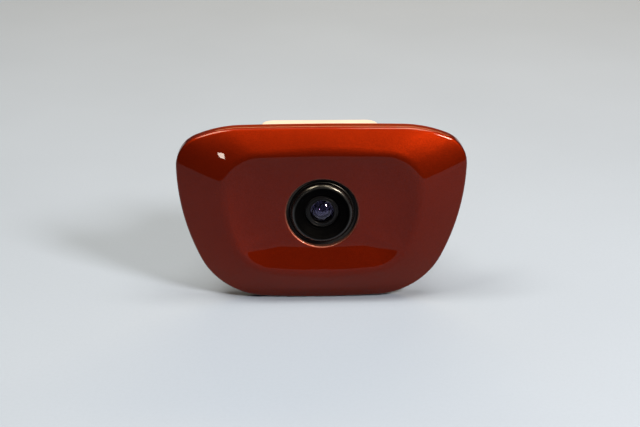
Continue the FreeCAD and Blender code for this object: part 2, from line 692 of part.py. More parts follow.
front_corner_holes = [cylinder("front_case_post_hole_%d" % i, 1.0, "case_split_y-4.2", "case_split_y+1", x, z) for i, (x, z) in enumerate(CASE_CORNERS)]
BOARD_POSTS = [(10.05, -3.0), (-10.05, 3.0)]
board_posts = [cylinder("board_post_%d" % i, 1.9, "case_front_y+case_wall-0.5", "sensor_board_y", x, z) for i, (x, z) in enumerate(BOARD_POSTS)]
board_post_holes = [cylinder("board_post_hole_%d" % i, 0.85, "sensor_board_y-4.5", "sensor_board_y+1", x, z) for i, (x, z) in enumerate(BOARD_POSTS)]
groove_solid = slab("case_groove_solid", square("case_half-0.5"), "case_split_y-0.9", "case_split_y+0.5")
pocket(groove_solid, "case_groove_core", square("case_half-1.3"), "case_split_y-2", "case_split_y+2")
front_shell = cut("front_case_bored", front_body, nose_core)
front_sum = fuse("front_case_sum", [front_shell, nose] + ears + front_corner_posts + board_posts)
camera_front_case = cut("camera_front_case", front_sum, fuse("front_case_cutters", ear_holes + front_corner_holes + board_post_holes + [groove_solid]))

case_gasket = slab("case_gasket", square("case_half-0.5"), "case_split_y-0.9", "case_split_y")
pocket(case_gasket, "case_gasket_core", square("case_half-1.3"), "case_split_y-2", "case_split_y+2")

nose_bezel = turned(
    "nose_bezel",
    [
        ("snout_radius+0.05", "case_front_y"), ("nose_radius", "case_front_y"), ("nose_radius", "crest_y"), ("nose_radius-1.3", "crest_y"),
        ("nose_radius-1.75", "crest_y+1.0"), (6.55, "crest_y+1.9"), (6.3, "crest_y+2.2"), (5.75, "crest_y+2.25"),
        (5.75, "snout_front_y"), ("snout_radius+0.05", "snout_front_y"),
    ],
)
soften(nose_bezel, "nose_bezel_crest", 0.62, lambda e: e.BoundBox.YLength < 1e-6 and abs(e.BoundBox.YMin - D["crest_y"]) < 1e-6)
soften(nose_bezel, "nose_bezel_valley", 0.8, lambda e: e.BoundBox.YLength < 1e-6 and abs(e.BoundBox.YMin - D["crest_y"] - 1.0) < 1e-6)

nose_seal = turned(
    "nose_seal",
    [("nose_radius+0.05", "case_front_y"), ("seal_outer_radius", "case_front_y"), ("seal_outer_radius", "front_y+inside_dish_depth"), ("nose_radius+0.05", "front_y+inside_dish_depth")],
)

# ---------------------------------------------------------------- camera rear case with its socket
rear_body = slab("rear_case_body", square("case_half"), "case_split_y", "case_rear_y")
soften(rear_body, "rear_case_corners", "case_corner", lambda e: along(e, Y))
soften(rear_body, "rear_case_edge", 0.8, lambda e: e.BoundBox.YLength < 1e-6 and abs(e.BoundBox.YMin - D["case_rear_y"]) < 1e-6)
pocket(rear_body, "rear_case_cavity", square("case_half-case_wall"), "case_split_y-1", "case_rear_y-case_wall")
socket_body = slab("socket_body", rectangle("socket_half_x", "socket_z-socket_half_z", "socket_z+socket_half_z"), "case_rear_y-0.5", "socket_rear_y")
soften(socket_body, "socket_corners", 1.6, lambda e: along(e, Y))
pocket(socket_body, "socket_cavity", rectangle("socket_half_x-socket_wall", "socket_z-socket_half_z+socket_wall", "socket_z+socket_half_z-socket_wall"), "case_rear_y", "socket_rear_y+1")
latch = new_body("socket_latch_ramp")
s = polygon(latch, "latch_side", "YZ_Plane", [("socket_rear_y-7", "socket_z+socket_half_z-0.3"), ("socket_rear_y-2", "socket_z+socket_half_z-0.3"), ("socket_rear_y-5.4", "socket_z+socket_half_z+1.3"), ("socket_rear_y-7", "socket_z+socket_half_z+1.3")], offset="-2.5")
p = latch.newObject("PartDesign::Pad", "latch_pad")
p.Profile = s
p.Length = 5
latch.Tip = p
keys = [
    box("socket_key_left", "-(socket_half_x+0.9)", "-(socket_half_x-0.5)", "case_rear_y+1", "socket_rear_y-0.6", "socket_z-0.7", "socket_z+0.7"),
    box("socket_key_right", "socket_half_x-0.5", "socket_half_x+0.9", "case_rear_y+1", "socket_rear_y-0.6", "socket_z+1.6", "socket_z+3.0"),
]
rear_posts = [cylinder("rear_case_post_%d" % i, "case_boss_radius", "case_split_y", "case_rear_y-0.9", x, z) for i, (x, z) in enumerate(CASE_CORNERS)]
rear_holes = [cylinder("rear_case_hole_%d" % i, 1.1, "case_split_y-1", "case_rear_y", x, z) for i, (x, z) in enumerate(CASE_CORNERS)]
rear_bores = [cylinder("rear_case_head_bore_%d" % i, 2.1, "case_rear_y-1.5", "case_rear_y+1", x, z) for i, (x, z) in enumerate(CASE_CORNERS)]
PINS = [-2, -1, 0, 1, 2]
pin_holes = [
    box("pin_hole_%d" % i, "%d*pin_pitch-pin_size/2" % k, "%d*pin_pitch+pin_size/2" % k, "case_rear_y-case_wall-1", "case_rear_y+1", "socket_z-pin_size/2", "socket_z+pin_size/2")
    for i, k in enumerate(PINS)
]
vent_bore = cylinder("vent_bore", 3.0, "case_rear_y-0.5", "case_rear_y+1", 0, 9.4)
vent_hole = cylinder("vent_hole", 0.8, "case_rear_y-case_wall-1", "case_rear_y+1", 0, 9.4)
rear_sum = fuse("rear_case_sum", [rear_body, socket_body, latch] + keys + rear_posts)
camera_rear_case = cut("camera_rear_case", rear_sum, fuse("rear_case_cutters", rear_holes + rear_bores + pin_holes + [vent_bore, vent_hole]))
vent_membrane = cylinder("vent_membrane", 2.9, "case_rear_y-0.5", "case_rear_y-0.15", 0, 9.4)
contact_pins = group(
    "contact_pins",
    [
        fillet(
            "contact_pin_%d" % i,
            box("contact_pin_bar_%d" % i, "%d*pin_pitch-pin_size/2" % k, "%d*pin_pitch+pin_size/2" % k, "processor_board_y-1.4", "pin_end_y", "socket_z-pin_size/2", "socket_z+pin_size/2"),
            0.14,
            lambda e: abs(e.BoundBox.YMin - D["pin_end_y"]) < 1e-6 and e.BoundBox.YLength < 1e-6,
        )
        for i, k in enumerate(PINS)
    ],
)

# ---------------------------------------------------------------- lens
lens_barrel = turned(
    "lens_barrel",
    [
        (4.5, back(0)), ("barrel_radius", back(0)), ("barrel_radius", back(0.6)), (4.85, back(0.6)), (4.85, back(1.6)),
        ("barrel_radius", back(1.6)), ("barrel_radius", back(2.7)), ("barrel_thread_radius", back(2.7)), ("barrel_thread_radius", back("barrel_length-0.4")),
        ("barrel_thread_radius-0.4", back("barrel_length")), (2.3, back("barrel_length")), (2.3, back(11.1)), (2.85, back(11.1)), (2.85, back(5.8)), (3.05, back(5.8)), (3.05, back(3.5)),
        (3.55, back(3.5)), (3.55, back(1.5)), (4.5, back(1.5)),
    ],
)


def torus(name, major, minor, y):
    o = doc.addObject("Part::Torus", name)
    o.Placement = Placement(Vector(0, 0, 0), Rotation(Vector(1, 0, 0), -90))
    bind(o, "Radius1", major)
    bind(o, "Radius2", minor)
    bind(o, "Placement.Base.y", y)
    return o


barrel_o_ring = torus("barrel_o_ring", 5.235, 0.355, back(1.1))
lens_retaining_ring = turned(
    "lens_retaining_ring",
    [("ring_inner_radius", "barrel_front_y"), ("ring_outer_radius", "barrel_front_y"), ("ring_outer_radius", back(-0.65)), (5.2, back(-0.8)), (4.45, back(-0.8)), ("ring_inner_radius", back(-0.5))],
)


def lens(name, edge_radius, front_y, rear_y, front_edge_y, rear_edge_y, front_clear, rear_clear, shoulder=None):
    """Glass element turned from two spherical faces, placed by distances behind the barrel's front: front_y and rear_y are on the axis, the edge values at the rim of each face."""
    body = new_body(name)
    import Sketcher

    front_y, rear_y, front_edge_y, rear_edge_y = [D["barrel_front_y"] + v for v in (front_y, rear_y, front_edge_y, rear_edge_y)]
    s = body.newObject("Sketcher::SketchObject", name + "_profile")
    s.AttachmentSupport = [(origin_plane(body, "XY_Plane"), "")]
    s.MapMode = "FlatFace"

    def arc(y_axis, y_edge, clear, up):
        sag = y_edge - y_axis
        radius = (clear**2 + sag**2) / (2 * abs(sag))
        centre = Vector(0, y_axis + math.copysign(radius, sag), 0)
        a0 = math.atan2(y_axis - centre.y, 0)
        a1 = math.atan2(y_edge - centre.y, clear)
        mid = (a0 + a1) / 2
        m = centre + Vector(math.cos(mid), math.sin(mid), 0) * radius
        ends = (Vector(0, y_axis, 0), Vector(clear, y_edge, 0))
        return Part.Arc(ends[0], m, ends[1]) if up else Part.Arc(ends[1], m, ends[0])

    s.addGeometry(arc(front_y, front_edge_y, front_clear, True), False)
    path = [Vector(front_clear, front_edge_y, 0)]
    if shoulder is not None:
        path.append(Vector(front_clear, shoulder, 0))
        path.append(Vector(edge_radius, shoulder, 0))
    elif edge_radius > front_clear + 1e-6:
        path.append(Vector(edge_radius, front_edge_y, 0))
    path.append(Vector(edge_radius, rear_edge_y, 0))
    if edge_radius > rear_clear + 1e-6:
        path.append(Vector(rear_clear, rear_edge_y, 0))
    for a, b in zip(path, path[1:]):
        s.addGeometry(Part.LineSegment(a, b), False)
    s.addGeometry(arc(rear_y, rear_edge_y, rear_clear, False), False)
    s.addGeometry(Part.LineSegment(Vector(0, rear_y, 0), Vector(0, front_y, 0)), False)
    n = s.GeometryCount
    for i in range(n):
        s.addConstraint(Sketcher.Constraint("Block", i))
    r = body.newObject("PartDesign::Revolution", name + "_turn")
    r.Profile = s
    r.ReferenceAxis = (s, ["V_Axis"])
    r.Angle = 360
    body.Tip = r
    return body


front_lens = lens("front_lens", 4.45, -1.95, -0.1, -0.4, 1.5, 3.95, 2.8, shoulder=D["barrel_front_y"])
second_lens = lens("second_lens", 3.5, 2.2, 2.8, 1.9, 3.5, 3.1, 2.3)
third_lens = lens("third_lens", 3.0, 3.8, 5.4, 4.3, 4.9, 2.9, 2.4)
fourth_lens = lens("fourth_lens", 2.8, 6.1, 7.3, 6.5, 7.7, 2.7, 2.7)
fifth_lens = lens("fifth_lens", 2.8, 7.3, 9.0, 7.7, 8.5, 2.7, 2.25)
lens_spacer = turned("lens_spacer", [(2.75, back(3.5)), (3.04, back(3.5)), (3.04, back(4.3)), (2.92, back(4.3))])
aperture_stop = turned("aperture_stop_disc", [(0.9, back(5.8)), (2.84, back(5.8)), (2.84, back(5.98)), (1.1, back(5.98))])
stop_ring = turned("third_lens_seat", [(2.45, back(4.9)), (3.04, back(4.9)), (3.04, back(5.8)), (2.45, back(5.8))])
rear_spacer = turned("rear_spacer", [(2.3, back(8.5)), (2.84, back(8.5)), (2.84, back(10.7)), (2.3, back(10.7))])
infrared_filter = cylinder("infrared_filter_disc", 2.8, back(10.7), back(11.1))

holder_tube = cylinder("holder_tube", "holder_radius", back(3.7), back(12.1))
holder_base = box("holder_base", -8, 8, back(11.5), "sensor_board_y", -8, 8)
holder_bore = cylinder("holder_bore", "barrel_thread_radius+0.04", back(2), back(12.5))
holder_room = box("holder_room", -6, 6, back(12.3), "sensor_board_y+1", -6, 6)
lens_holder = cut("lens_holder", fuse("holder_sum", [holder_tube, holder_base]), fuse("holder_cutters", [holder_bore, holder_room]))

# ---------------------------------------------------------------- boards
image_sensor = box("image_sensor", -4.2, 4.2, "sensor_board_y-1.2", "sensor_board_y", -3.7, 3.7)
sensor_glass = box("sensor_glass", -3.5, 3.5, "sensor_board_y-1.7", "sensor_board_y-1.2", -3.0, 3.0)


def board(name, y0, y1, holes):
    b = slab(name + "_blank", square("board_half"), y0, y1)
    corner = [cylinder("%s_notch_%d" % (name, i), "case_boss_radius+0.35", "%s-1" % y0, "%s+1" % y1, x, z) for i, (x, z) in enumerate(CASE_CORNERS)]
    return cut(name, b, fuse(name + "_cutters", corner + holes))


sensor_board = board("sensor_board", "sensor_board_y", "sensor_board_y+1.2", [cylinder("sensor_board_hole_%d" % i, 1.05, "sensor_board_y-1", "sensor_board_y+3", x, z) for i, (x, z) in enumerate(BOARD_POSTS)])
board_screws = group("board_screws", [pan_screw("board_screw_%d" % i, x, z, "sensor_board_y+1.2", 5.2, 0.8, 1.7, 1.1, recess=0.6) for i, (x, z) in enumerate(BOARD_POSTS)])
board_connector = fuse(
    "board_connector",
    [
        box("board_connector_plug", -6.0, 6.0, "sensor_board_y+1.2", "sensor_board_y+3.0", 6.6, 10.0),
        box("board_connector_mate", -5.4, 5.4, "sensor_board_y+2.9", "processor_board_y", 7.0, 9.6),
    ],
)
processor_board = board(
    "processor_board", "processor_board_y", "processor_board_y+1.0",
    [box("processor_board_pin_hole_%d" % i, "%d*pin_pitch-pin_size/2-0.08" % k, "%d*pin_pitch+pin_size/2+0.08" % k, "processor_board_y-1", "processor_board_y+2", "socket_z-pin_size/2-0.08", "socket_z+pin_size/2+0.08") for i, k in enumerate(PINS)],
)
video_processor = box("video_processor", -4.0, 4.0, "processor_board_y-0.9", "processor_board_y", -2.6, 5.4)
PASSIVES = [(-8.6, 1.0, 1.0, 0.6), (-8.6, 3.2, 1.0, 0.6), (-8.6, 5.4, 1.0, 0.6), (8.4, 0.0, 1.2, 0.8), (8.4, 3.0, 1.2, 0.8), (7.9, 5.9, 0.8, 0.5), (-6.6, -8.6, 0.8, 0.5), (-3.4, -9.0, 1.2, 0.8), (2.6, -9.0, 1.2, 0.8), (6.4, -8.6, 0.8, 0.5)]
board_components = group(
    "board_components",
    [box("component_%d" % i, x - a, x + a, "processor_board_y-0.8", "processor_board_y", z - b, z + b) for i, (x, z, a, b) in enumerate(PASSIVES)],
)
shield_outer = box("shield_outer", -8.5, 8.5, "processor_board_y+1.0", "processor_board_y+3.0", 0.0, 9.0)
shield_inner = box("shield_inner", -8.3, 8.3, "processor_board_y+0.5", "processor_board_y+2.8", 0.2, 8.8)
board_shield = cut("board_shield", shield_outer, shield_inner)

# ---------------------------------------------------------------- write
NODES = [
    (front_cover, "front_cover"), (mounting_bracket, "mounting_bracket"), (threaded_inserts, "threaded_inserts"), (panel_gasket, "panel_gasket"),
    (cover_screws, "cover_screws"), (camera_screws, "camera_screws"), (case_screws, "case_screws"),
    (camera_front_case, "camera_front_case"), (nose_bezel, "nose_bezel"), (case_gasket, "case_gasket"), (nose_seal, "nose_seal"), (camera_rear_case, "camera_rear_case"),
    (vent_membrane, "vent_membrane"), (contact_pins, "contact_pins"),
    (lens_barrel, "lens_barrel"), (barrel_o_ring, "barrel_o_ring"), (lens_retaining_ring, "lens_retaining_ring"),
    (front_lens, "front_lens"), (second_lens, "second_lens"), (third_lens, "third_lens"), (fourth_lens, "fourth_lens"), (fifth_lens, "fifth_lens"),
    (lens_spacer, "front_lens_spacer"), (stop_ring, "stop_spacer"), (aperture_stop, "aperture_stop"), (rear_spacer, "rear_lens_spacer"),
    (infrared_filter, "infrared_filter"), (lens_holder, "lens_holder"),
    (image_sensor, "image_sensor"), (sensor_glass, "sensor_glass"), (sensor_board, "sensor_board"), (board_screws, "board_screws"),
    (board_connector, "board_connector"), (processor_board, "processor_board"), (video_processor, "video_processor"),
    (board_components, "board_components"), (board_shield, "board_shield"),
]
doc.recompute()
bad = [o.Name for o in doc.Objects if any(s in ("Invalid", "Error") for s in o.State)]
if bad:
    raise RuntimeError("failed objects: %s" % bad)
for o, label in NODES:
    o.Label = label
doc.recompute()
for o, label in NODES:
    shape = o.Shape
    if shape.isNull() or not shape.isValid() or not shape.Solids:
        raise RuntimeError("bad shape: " + label)
for name in os.listdir("parts"):
    if name.endswith(".step"):
        os.remove(os.path.join("parts", name))
for o, label in NODES:
    shape = o.Shape.copy()
    if len(shape.Solids) == 1 and shape.ShapeType != "Solid":
        shape = shape.Solids[0]
    shape.exportStep("parts/%s.step" % label)
    b = shape.BoundBox
    print("%-22s solids %2d  volume %9.2f  x %7.2f..%7.2f  y %7.2f..%7.2f  z %7.2f..%7.2f" % (label, len(shape.Solids), shape.Volume, b.XMin, b.XMax, b.YMin, b.YMax, b.ZMin, b.ZMax))
print("lowest point of the rim", round(outline.Shape.BoundBox.ZMin, 3))
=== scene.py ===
import json
import math

import bmesh
import bpy
import numpy as np
from mathutils import Matrix, Quaternion, Vector


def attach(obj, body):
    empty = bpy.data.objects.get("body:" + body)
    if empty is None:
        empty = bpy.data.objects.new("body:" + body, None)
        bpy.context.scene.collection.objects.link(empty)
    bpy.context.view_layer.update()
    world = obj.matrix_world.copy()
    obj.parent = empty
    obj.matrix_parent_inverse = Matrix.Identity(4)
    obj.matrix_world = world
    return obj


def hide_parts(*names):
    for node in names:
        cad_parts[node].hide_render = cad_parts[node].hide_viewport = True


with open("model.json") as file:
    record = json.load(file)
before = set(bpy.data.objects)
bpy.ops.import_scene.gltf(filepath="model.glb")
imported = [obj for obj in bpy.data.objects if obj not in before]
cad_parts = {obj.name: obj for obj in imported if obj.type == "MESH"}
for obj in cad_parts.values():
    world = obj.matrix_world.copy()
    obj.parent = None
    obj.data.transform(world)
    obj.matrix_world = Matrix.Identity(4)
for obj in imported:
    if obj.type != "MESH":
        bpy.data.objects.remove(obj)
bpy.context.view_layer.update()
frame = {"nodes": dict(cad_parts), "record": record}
MM = 0.001

# ---------------------------------------------------------------- sizes (mm), the same as the CAD's
TOP_Z, FRONT_Y, DEPTH, WALL = 29.7, -10.0, 9.0, 2.2
HOLE_R, LIP = 12.2, 0.7
EDGE_DEPTH, ROLL = 5.2, 0.9
DISH = 1.4
# the dish's floor is slightly hollow: its deepest level, and how fast it rises away from it
HOLLOW, HOLLOW_Z, HOLLOW_RATE = 2.25, 4.0, 0.0015
FLOOR_Z = -33.06


# ---------------------------------------------------------------- mesh helpers
def mesh_object(name, verts, faces, smooth_angle=None, scale=MM):
    me = bpy.data.meshes.new(name)
    me.from_pydata([tuple(float(c) * scale for c in v) for v in verts], [], [tuple(int(i) for i in f) for f in faces])
    me.validate()
    bm = bmesh.new()
    bm.from_mesh(me)
    bmesh.ops.recalc_face_normals(bm, faces=bm.faces)
    bm.to_mesh(me)
    bm.free()
    if smooth_angle is not None:
        me.polygons.foreach_set("use_smooth", [True] * len(me.polygons))
        me.set_sharp_from_angle(angle=math.radians(smooth_angle))
    ob = bpy.data.objects.new(name, me)
    bpy.context.scene.collection.objects.link(ob)
    return ob


def ring_solid(rings):
    """Closed skin of rings of equal length; the last ring joins the first."""
    n, k = len(rings[0]), len(rings)
    verts = np.concatenate(rings)
    faces = []
    for i in range(k):
        a, b = i * n, ((i + 1) % k) * n
        for j in range(n):
            faces.append((a + j, a + (j + 1) % n, b + (j + 1) % n, b + j))
    return verts, faces


def lathe(name, profile, segments=160, angle=40.0, x=0.0, z=0.0):
    """Turned piece about the Y axis; profile is a closed loop of (radius, y)."""
    profile = [p for i, p in enumerate(profile) if math.dist(p, profile[i - 1]) > 1e-5]
    t = np.arange(segments) * (2 * math.pi / segments)
    verts, rows = [], []
    for r, y in profile:
        if r < 1e-6:
            rows.append([len(verts)] * segments)
            verts.append((x, y, z))
        else:
            rows.append(list(range(len(verts), len(verts) + segments)))
            verts += [(x + r * math.cos(a), y, z + r * math.sin(a)) for a in t]
    faces = []
    k = len(rows)
    for i in range(k):
        a, b = rows[i], rows[(i + 1) % k]
        if a[0] == a[1] and b[0] == b[1]:
            continue
        for j in range(segments):
            q = (a[j], a[(j + 1) % segments], b[(j + 1) % segments], b[j])
            q = tuple(dict.fromkeys(q))
            if len(q) > 2:
                faces.append(q)
    return mesh_object(name, verts, faces, angle)


def arc(cx, cy, r, a0, a1, n):
    return [(cx + r * math.cos(math.radians(a0 + (a1 - a0) * i / n)), cy + r * math.sin(math.radians(a0 + (a1 - a0) * i / n))) for i in range(n + 1)]


def rounded(points, radii, n=8):
    """Closed polygon of (radius, y) points with its corners rounded."""
    out, k = [], len(points)
    for i, (p, r) in enumerate(zip(points, radii)):
        p = np.array(p, float)
        if r <= 0:
            out.append(tuple(p))
            continue
        a, b = np.array(points[i - 1], float) - p, np.array(points[(i + 1) % k], float) - p
        la, lb = np.linalg.norm(a), np.linalg.norm(b)
        a, b = a / la, b / lb
        half = math.acos(max(-1, min(1, float(a @ b)))) / 2
        d = min(r / math.tan(half), la * 0.49, lb * 0.49)
        p0, p1 = p + a * d, p + b * d
        for j in range(n + 1):
            t = j / n
            out.append(tuple(p0 * (1 - t) ** 2 + p * 2 * t * (1 - t) + p1 * t * t))
    return out


# ---------------------------------------------------------------- cover outline and ridge
def unit(a):
    return np.array([math.cos(math.radians(a)), math.sin(math.radians(a))])


def right_half(top, spans, low):
    p, found = np.array([0.0, top]), []
    for r, a, b in spans:
        c = p - unit(a) * r
        found.append((c, r, a, b))
        p = c + unit(b) * r
    a = -90 + low
    r = p[0] / math.sin(math.radians(low))
    found.append((p - unit(a) * r, r, a, -90.0))
    return found


def walk(half, n, weight=2.2):
    """n points round the closed outline, denser at its tight corners, with outward normals."""
    dense, normal = [], []
    for c, r, a, b in half:
        k = max(8, int(abs(b - a) * 14))
        for i in range(k):
            t = a + (b - a) * i / k
            dense.append(c + unit(t) * r)
            normal.append(unit(t))
    dense.append(half[-1][0] + unit(-90) * half[-1][1])
    normal.append(unit(-90))
    dense, normal = np.array(dense), np.array(normal)
    step = np.linalg.norm(np.diff(dense, axis=0), axis=1)
    turn = np.linalg.norm(np.diff(normal, axis=0), axis=1)
    s = np.concatenate([[0], np.cumsum(step + turn * weight * 6)])
    want = np.linspace(0, s[-1], n // 2 + 1)
    px = np.stack([np.interp(want, s, dense[:, i]) for i in (0, 1)], 1)
    nx = np.stack([np.interp(want, s, normal[:, i]) for i in (0, 1)], 1)
    nx /= np.linalg.norm(nx, axis=1)[:, None]
    flip = np.array([-1, 1])
    p = np.concatenate([px, (px[1:-1] * flip)[::-1]])
    m = np.concatenate([nx, (nx[1:-1] * flip)[::-1]])
    return p, m


def polar(half):
    p, _ = walk(half, 2880, 0.5)
    a = np.arctan2(p[:, 1], p[:, 0])
    r = np.hypot(p[:, 0], p[:, 1])
    o = np.argsort(a)
    a, r = a[o], r[o]
    a = np.concatenate([a[-3:] - 2 * math.pi, a, a[:3] + 2 * math.pi])
    r = np.concatenate([r[-3:], r, r[:3]])
    return lambda phi: np.interp(phi, a, r)


OUT = right_half(TOP_Z, [(1390, 90, 88.89), (41.4, 88.89, 67.35), (11.2, 67.35, 0), (80, 0, -24.8), (25.7, -24.8, -86.87)], 3.13)
RIDGE = right_half(21.8, [(400, 90, 87), (12.5, 87, 5), (45, 5, -24), (14, -24, -80)], 10)
# where the dish's floor meets its walls
CREASE = right_half(13.6, [(300, 90, 87), (9.0, 87, 2), (60, 2, -8), (6.5, -8, -88)], 2)


def beyond(half):
    """Signed distance of (x, z) points from a closed outline, positive outside it."""
    line, normal = walk(half, 720, 0.5)
    nxt = np.roll(line, -1, axis=0)
    edge = nxt - line
    length2 = np.sum(edge * edge, 1)

    def measure(q):
        t = np.clip(((q[:, None, :] - line[None]) * edge[None]).sum(2) / length2[None], 0, 1)
        near = line[None] + edge[None] * t[..., None]
        gap = q[:, None, :] - near
        d2 = (gap**2).sum(2)
        k = d2.argmin(1)
        rows = np.arange(len(q))
        d = np.sqrt(d2[rows, k])
        side = (gap[rows, k] * normal[k]).sum(1)
        return np.where(side >= 0, d, -d)

    return measure


def build_cover():
    p, m = walk(OUT, 640)
    phi = np.arctan2(p[:, 1], p[:, 0])
    u = np.stack([np.cos(phi), np.sin(phi)], 1)
    r_ridge, r_crease = polar(RIDGE)(phi), polar(CREASE)(phi)
    ridge = u * r_ridge[:, None]
    start = p - m * ROLL
    run = np.linalg.norm(ridge - start, axis=1)
    # the bevel is crowned: it leaves the ridge at a low slope and steepens to the edge
    first_slope = np.minimum(0.46, 0.75 * EDGE_DEPTH / (run + ROLL))
    curl = (EDGE_DEPTH - first_slope * (run + ROLL)) / (run + ROLL) ** 2

    def bevel(x):
        return first_slope * x + curl * x * x

    cosine = np.maximum(0.5, -np.sum((ridge - start) * m, 1) / run)
    grade = (first_slope + 2 * curl * run) / cosine
    d0 = bevel(run)
    rings = []

    def add(q, depth):
        depth = np.broadcast_to(depth, (len(p),))
        rings.append(np.stack([q[:, 0], FRONT_Y + depth, q[:, 1]], 1))

    # rim, skirt and rolled edge
    low_y = d0 + grade * ROLL + ROLL
    for inset, depth in ((0.35, DEPTH), (0.1, DEPTH - 0.1)):
        add(p - m * inset, depth)
    for f in (0.97, 0.9, 0.75, 0.5, 0.25):
        add(p, low_y + (DEPTH - 0.1 - low_y) * f)
    for j in range(15):
        t = j / 14
        inset = ROLL * t * t
        depth = low_y * (1 - t) ** 2 + (d0 + grade * ROLL) * 2 * t * (1 - t) + d0 * t * t
        add(p - m * inset, depth)
    # outer bevel
    rb = 1.6 + 0.7 * np.clip(u[:, 1] + 0.3, 0, 1)
    span = run - rb
    for f in np.linspace(0, 1, 26)[1:]:
        s = span * f
        q = start + (ridge - start) * (s / run)[:, None]
        add(q, bevel(run - s))
    # ridge, dish wall and floor along the ray to the hole
    measure = beyond(CREASE)
    width = np.maximum(measure(ridge), 2.0)

    def dish(r):
        """Depth inside the ridge: a hollow floor, and a wall that is steepest at its foot."""
        q = u * r[:, None]
        off = measure(q)
        low = np.clip((-q[:, 1] / np.maximum(r, 1) - 0.35) / 0.3, 0, 1)
        soft = np.minimum(7.5 - 6.6 * low * low * (3 - 2 * low), width * 0.8)
        wall = np.where(off > soft, off, np.where(off < -soft, 0, (off + soft) ** 2 / (4 * soft))) / width
        floor = HOLLOW - HOLLOW_RATE * (np.minimum(r, r_crease) * u[:, 1] - HOLLOW_Z) ** 2
        return floor * (1 - wall)

    first = bevel(rb)
    second = dish(r_ridge - rb)
    for j in range(1, 12):
        t = j / 11
        on_bevel = (1 - t) ** 2 * (run - rb) + 2 * t * (1 - t) * run + t * t * run
        point = start + (ridge - start) * (on_bevel / run)[:, None] - u * (t * t * rb)[:, None]
        add(point, (1 - t) ** 2 * first + t * t * second)
    r_end = HOLE_R + LIP
    r0 = r_ridge - rb
    for f in np.linspace(0, 1, 46)[1:]:
        r = r0 + (r_end - r0) * f
        add(u * r[:, None], dish(r))
    # rolled lip of the opening, then its wall
    d_lip = dish(np.full(len(p), r_end))
    for j in range(1, 8):
        a = math.radians(90 * j / 7)
        r = r_end - LIP * math.sin(a)
        add(u * r, d_lip + LIP * (1 - math.cos(a)))
    back = DISH + WALL
    add(u * HOLE_R, d_lip + (back - d_lip) * 0.5 + LIP * 0.5)
    add(u * HOLE_R, back - 0.12)
    add(u * (HOLE_R + 0.12), back)
    # inside
    c_in = u * (np.maximum(r_crease, 13.4) + 0.2)[:, None]
    for f in (0.5, 1.0):
        add(u * (HOLE_R + 0.12) * (1 - f) + c_in * f, back)
    for f in (0.5, 1.0):
        add(c_in * (1 - f) + ridge * f, back + (WALL - back) * f)
    corner_in = p - m * WALL
    depth_in = EDGE_DEPTH + WALL * 0.7
    for f in (0.33, 0.66, 0.94):
        add(ridge * (1 - f) + corner_in * f, WALL + (depth_in - WALL) * f)
    add(p - m * WALL, depth_in + 0.4)
    add(p - m * WALL, DEPTH - 0.2)
    add(p - m * (WALL - 0.2), DEPTH)
    verts, faces = ring_solid(rings)
    verts, faces = list(verts), list(faces)
    # screw bosses on the inside
    for x, z in ((29.5, 14.5), (-29.5, 14.5), (25.6, -13.5), (-25.6, -13.5)):
        base, n = len(verts), 40
        for r, y in ((3.2, FRONT_Y + 1.9), (3.2, -5.15), (3.05, -5.0), (1.65, -5.0), (1.5, -5.15), (1.5, -8.0)):
            verts += [np.array([x + r * math.cos(2 * math.pi * k / n), y, z + r * math.sin(2 * math.pi * k / n)]) for k in range(n)]
        for i in range(5):
            for j in range(n):
                faces.append((base + i * n + j, base + i * n + (j + 1) % n, base + (i + 1) * n + (j + 1) % n, base + (i + 1) * n + j))
        faces.append(tuple(base + j for j in range(n)))
        faces.append(tuple(base + 5 * n + j for j in reversed(range(n))))
    return mesh_object("cover_shell", verts, faces, 50)


# ---------------------------------------------------------------- materials
PAINT = (0.130, 0.0078, 0.0007)


def material(name):
    m = bpy.data.materials.new(name)
    m.use_nodes = True
    nt = m.node_tree
    nt.nodes.clear()
    out = nt.nodes.new("ShaderNodeOutputMaterial")
    bsdf = nt.nodes.new("ShaderNodeBsdfPrincipled")
    nt.links.new(bsdf.outputs[0], out.inputs[0])
    return m, nt, bsdf


def setting(bsdf, **values):
    names = {
        "color": "Base Color", "metallic": "Metallic", "rough": "Roughness", "ior": "IOR", "spec": "Specular IOR Level", "coat": "Coat Weight", "coat_rough": "Coat Roughness",
        "coat_ior": "Coat IOR", "coat_tint": "Coat Tint", "spec_tint": "Specular Tint", "transmission": "Transmission Weight", "sheen": "Sheen Weight", "subsurface": "Subsurface Weight",
        "film": "Thin Film Thickness", "film_ior": "Thin Film IOR", "subsurface_scale": "Subsurface Scale", "anisotropic": "Anisotropic", "alpha": "Alpha",
    }
    for k, v in values.items():
        socket = bsdf.inputs[names[k]]
        socket.default_value = (*v, 1.0) if isinstance(v, tuple) and len(v) == 3 else v


def node(nt, kind, links=(), **props):
    n = nt.nodes.new(kind)
    for k, v in props.items():
        setattr(n, k, v)
    for target, source in dict(links).items():
        if isinstance(source, bpy.types.NodeSocket):
            nt.links.new(source, n.inputs[target])
        else:
            n.inputs[target].default_value = source
    return n


def place(nt):
    return node(nt, "ShaderNodeTexCoord").outputs["Object"]


def noise(nt, scale, detail=3.0, roughness=0.55, at=None, distortion=0.0):
    return node(nt, "ShaderNodeTexNoise", {"Vector": at or place(nt), "Scale": scale, "Detail": detail, "Roughness": roughness, "Distortion": distortion})


def cells(nt, scale, feature="F1", at=None, randomness=1.0):
    return node(nt, "ShaderNodeTexVoronoi", {"Vector": at or place(nt), "Scale": scale, "Randomness": randomness}, feature=feature)


def span(nt, value, a, b, c, d, clamp=True):
    return node(nt, "ShaderNodeMapRange", {"Value": value, "From Min": a, "From Max": b, "To Min": c, "To Max": d}, clamp=clamp).outputs[0]


